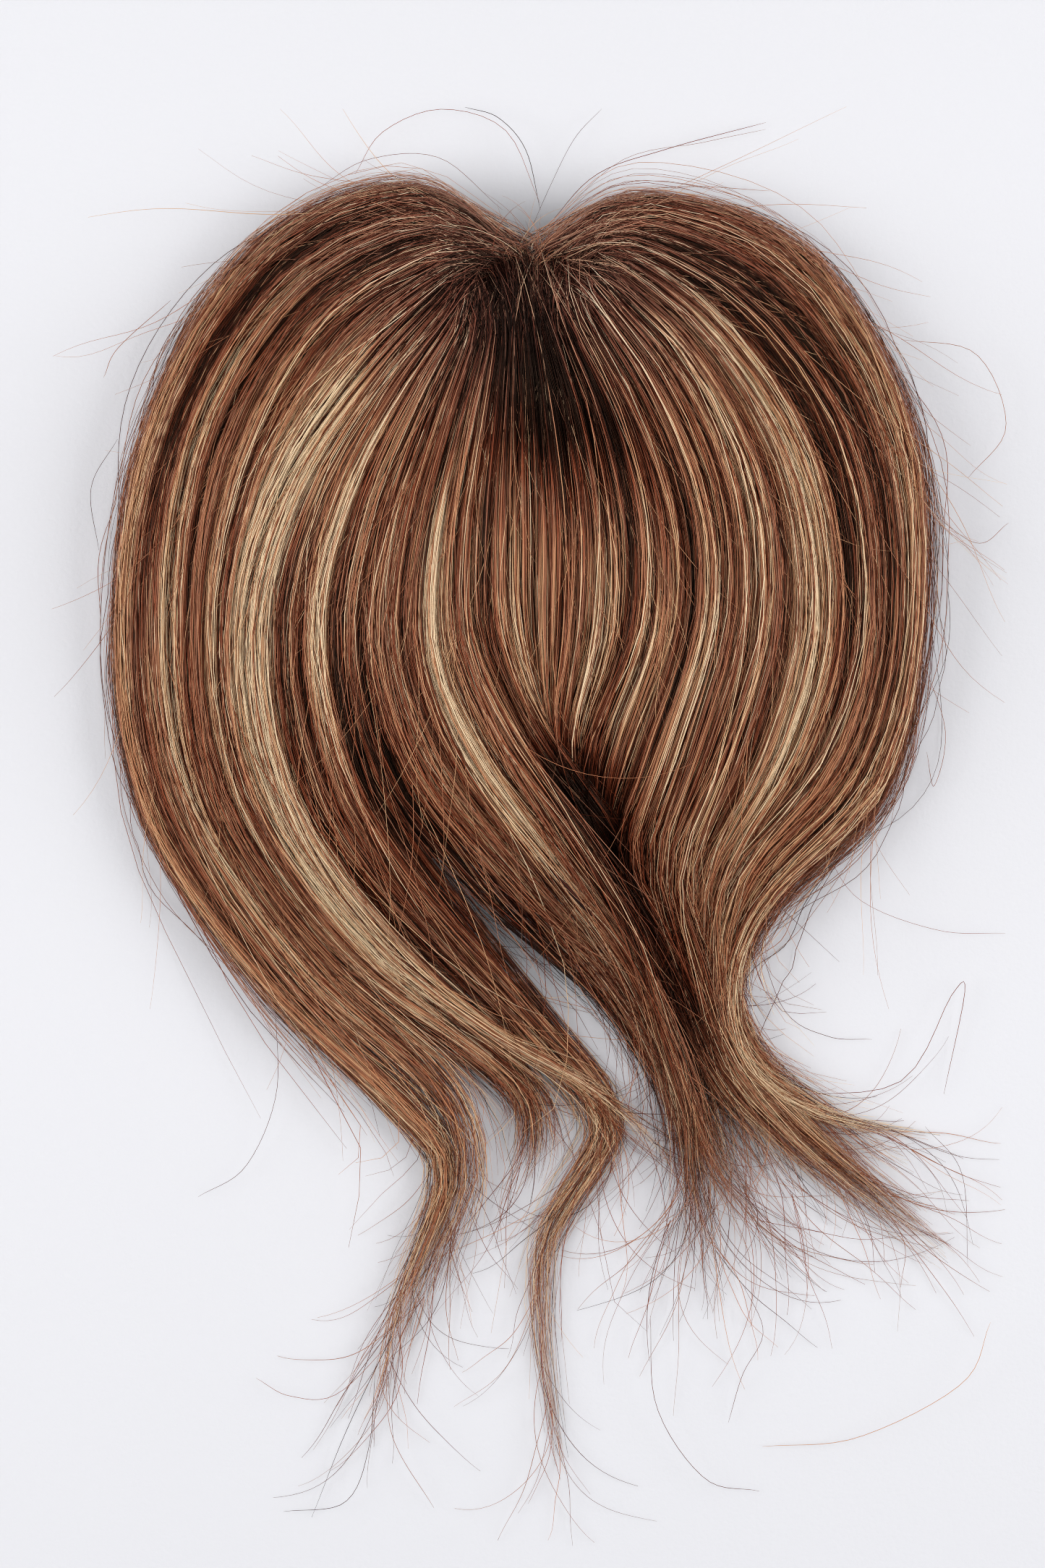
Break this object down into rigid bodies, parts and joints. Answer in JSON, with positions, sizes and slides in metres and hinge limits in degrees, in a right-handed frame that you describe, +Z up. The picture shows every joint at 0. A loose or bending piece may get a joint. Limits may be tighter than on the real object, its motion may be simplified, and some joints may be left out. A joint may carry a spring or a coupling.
{
  "type": "hair topper",
  "caption": "Long layered hair topper with highlights, lying flat: locks fan from a front parting over a domed net base with snap clips, cross below it and end in loose tails",
  "frame": {"origin": "on the surface that it lies on, under the middle of the whole", "axes": "+Z up from the surface, +Y from the ends of the hair towards the parting, +X to the right of the picture"},
  "size_m": [0.248, 0.3802, 0.0527],
  "materials": {
    "hair": "glossy strands, dark brown to blonde",
    "net": "matt woven net",
    "clip_metal": "satin lacquer"
  },
  "bodies": {
    "root": {"base": "net", "hair_left": "hair", "hair_centre": "hair", "hair_right": "hair", "clip_front": "clip_metal", "clip_back": "clip_metal", "clip_left": "clip_metal", "clip_right": "clip_metal"}
  },
  "joints": []
}
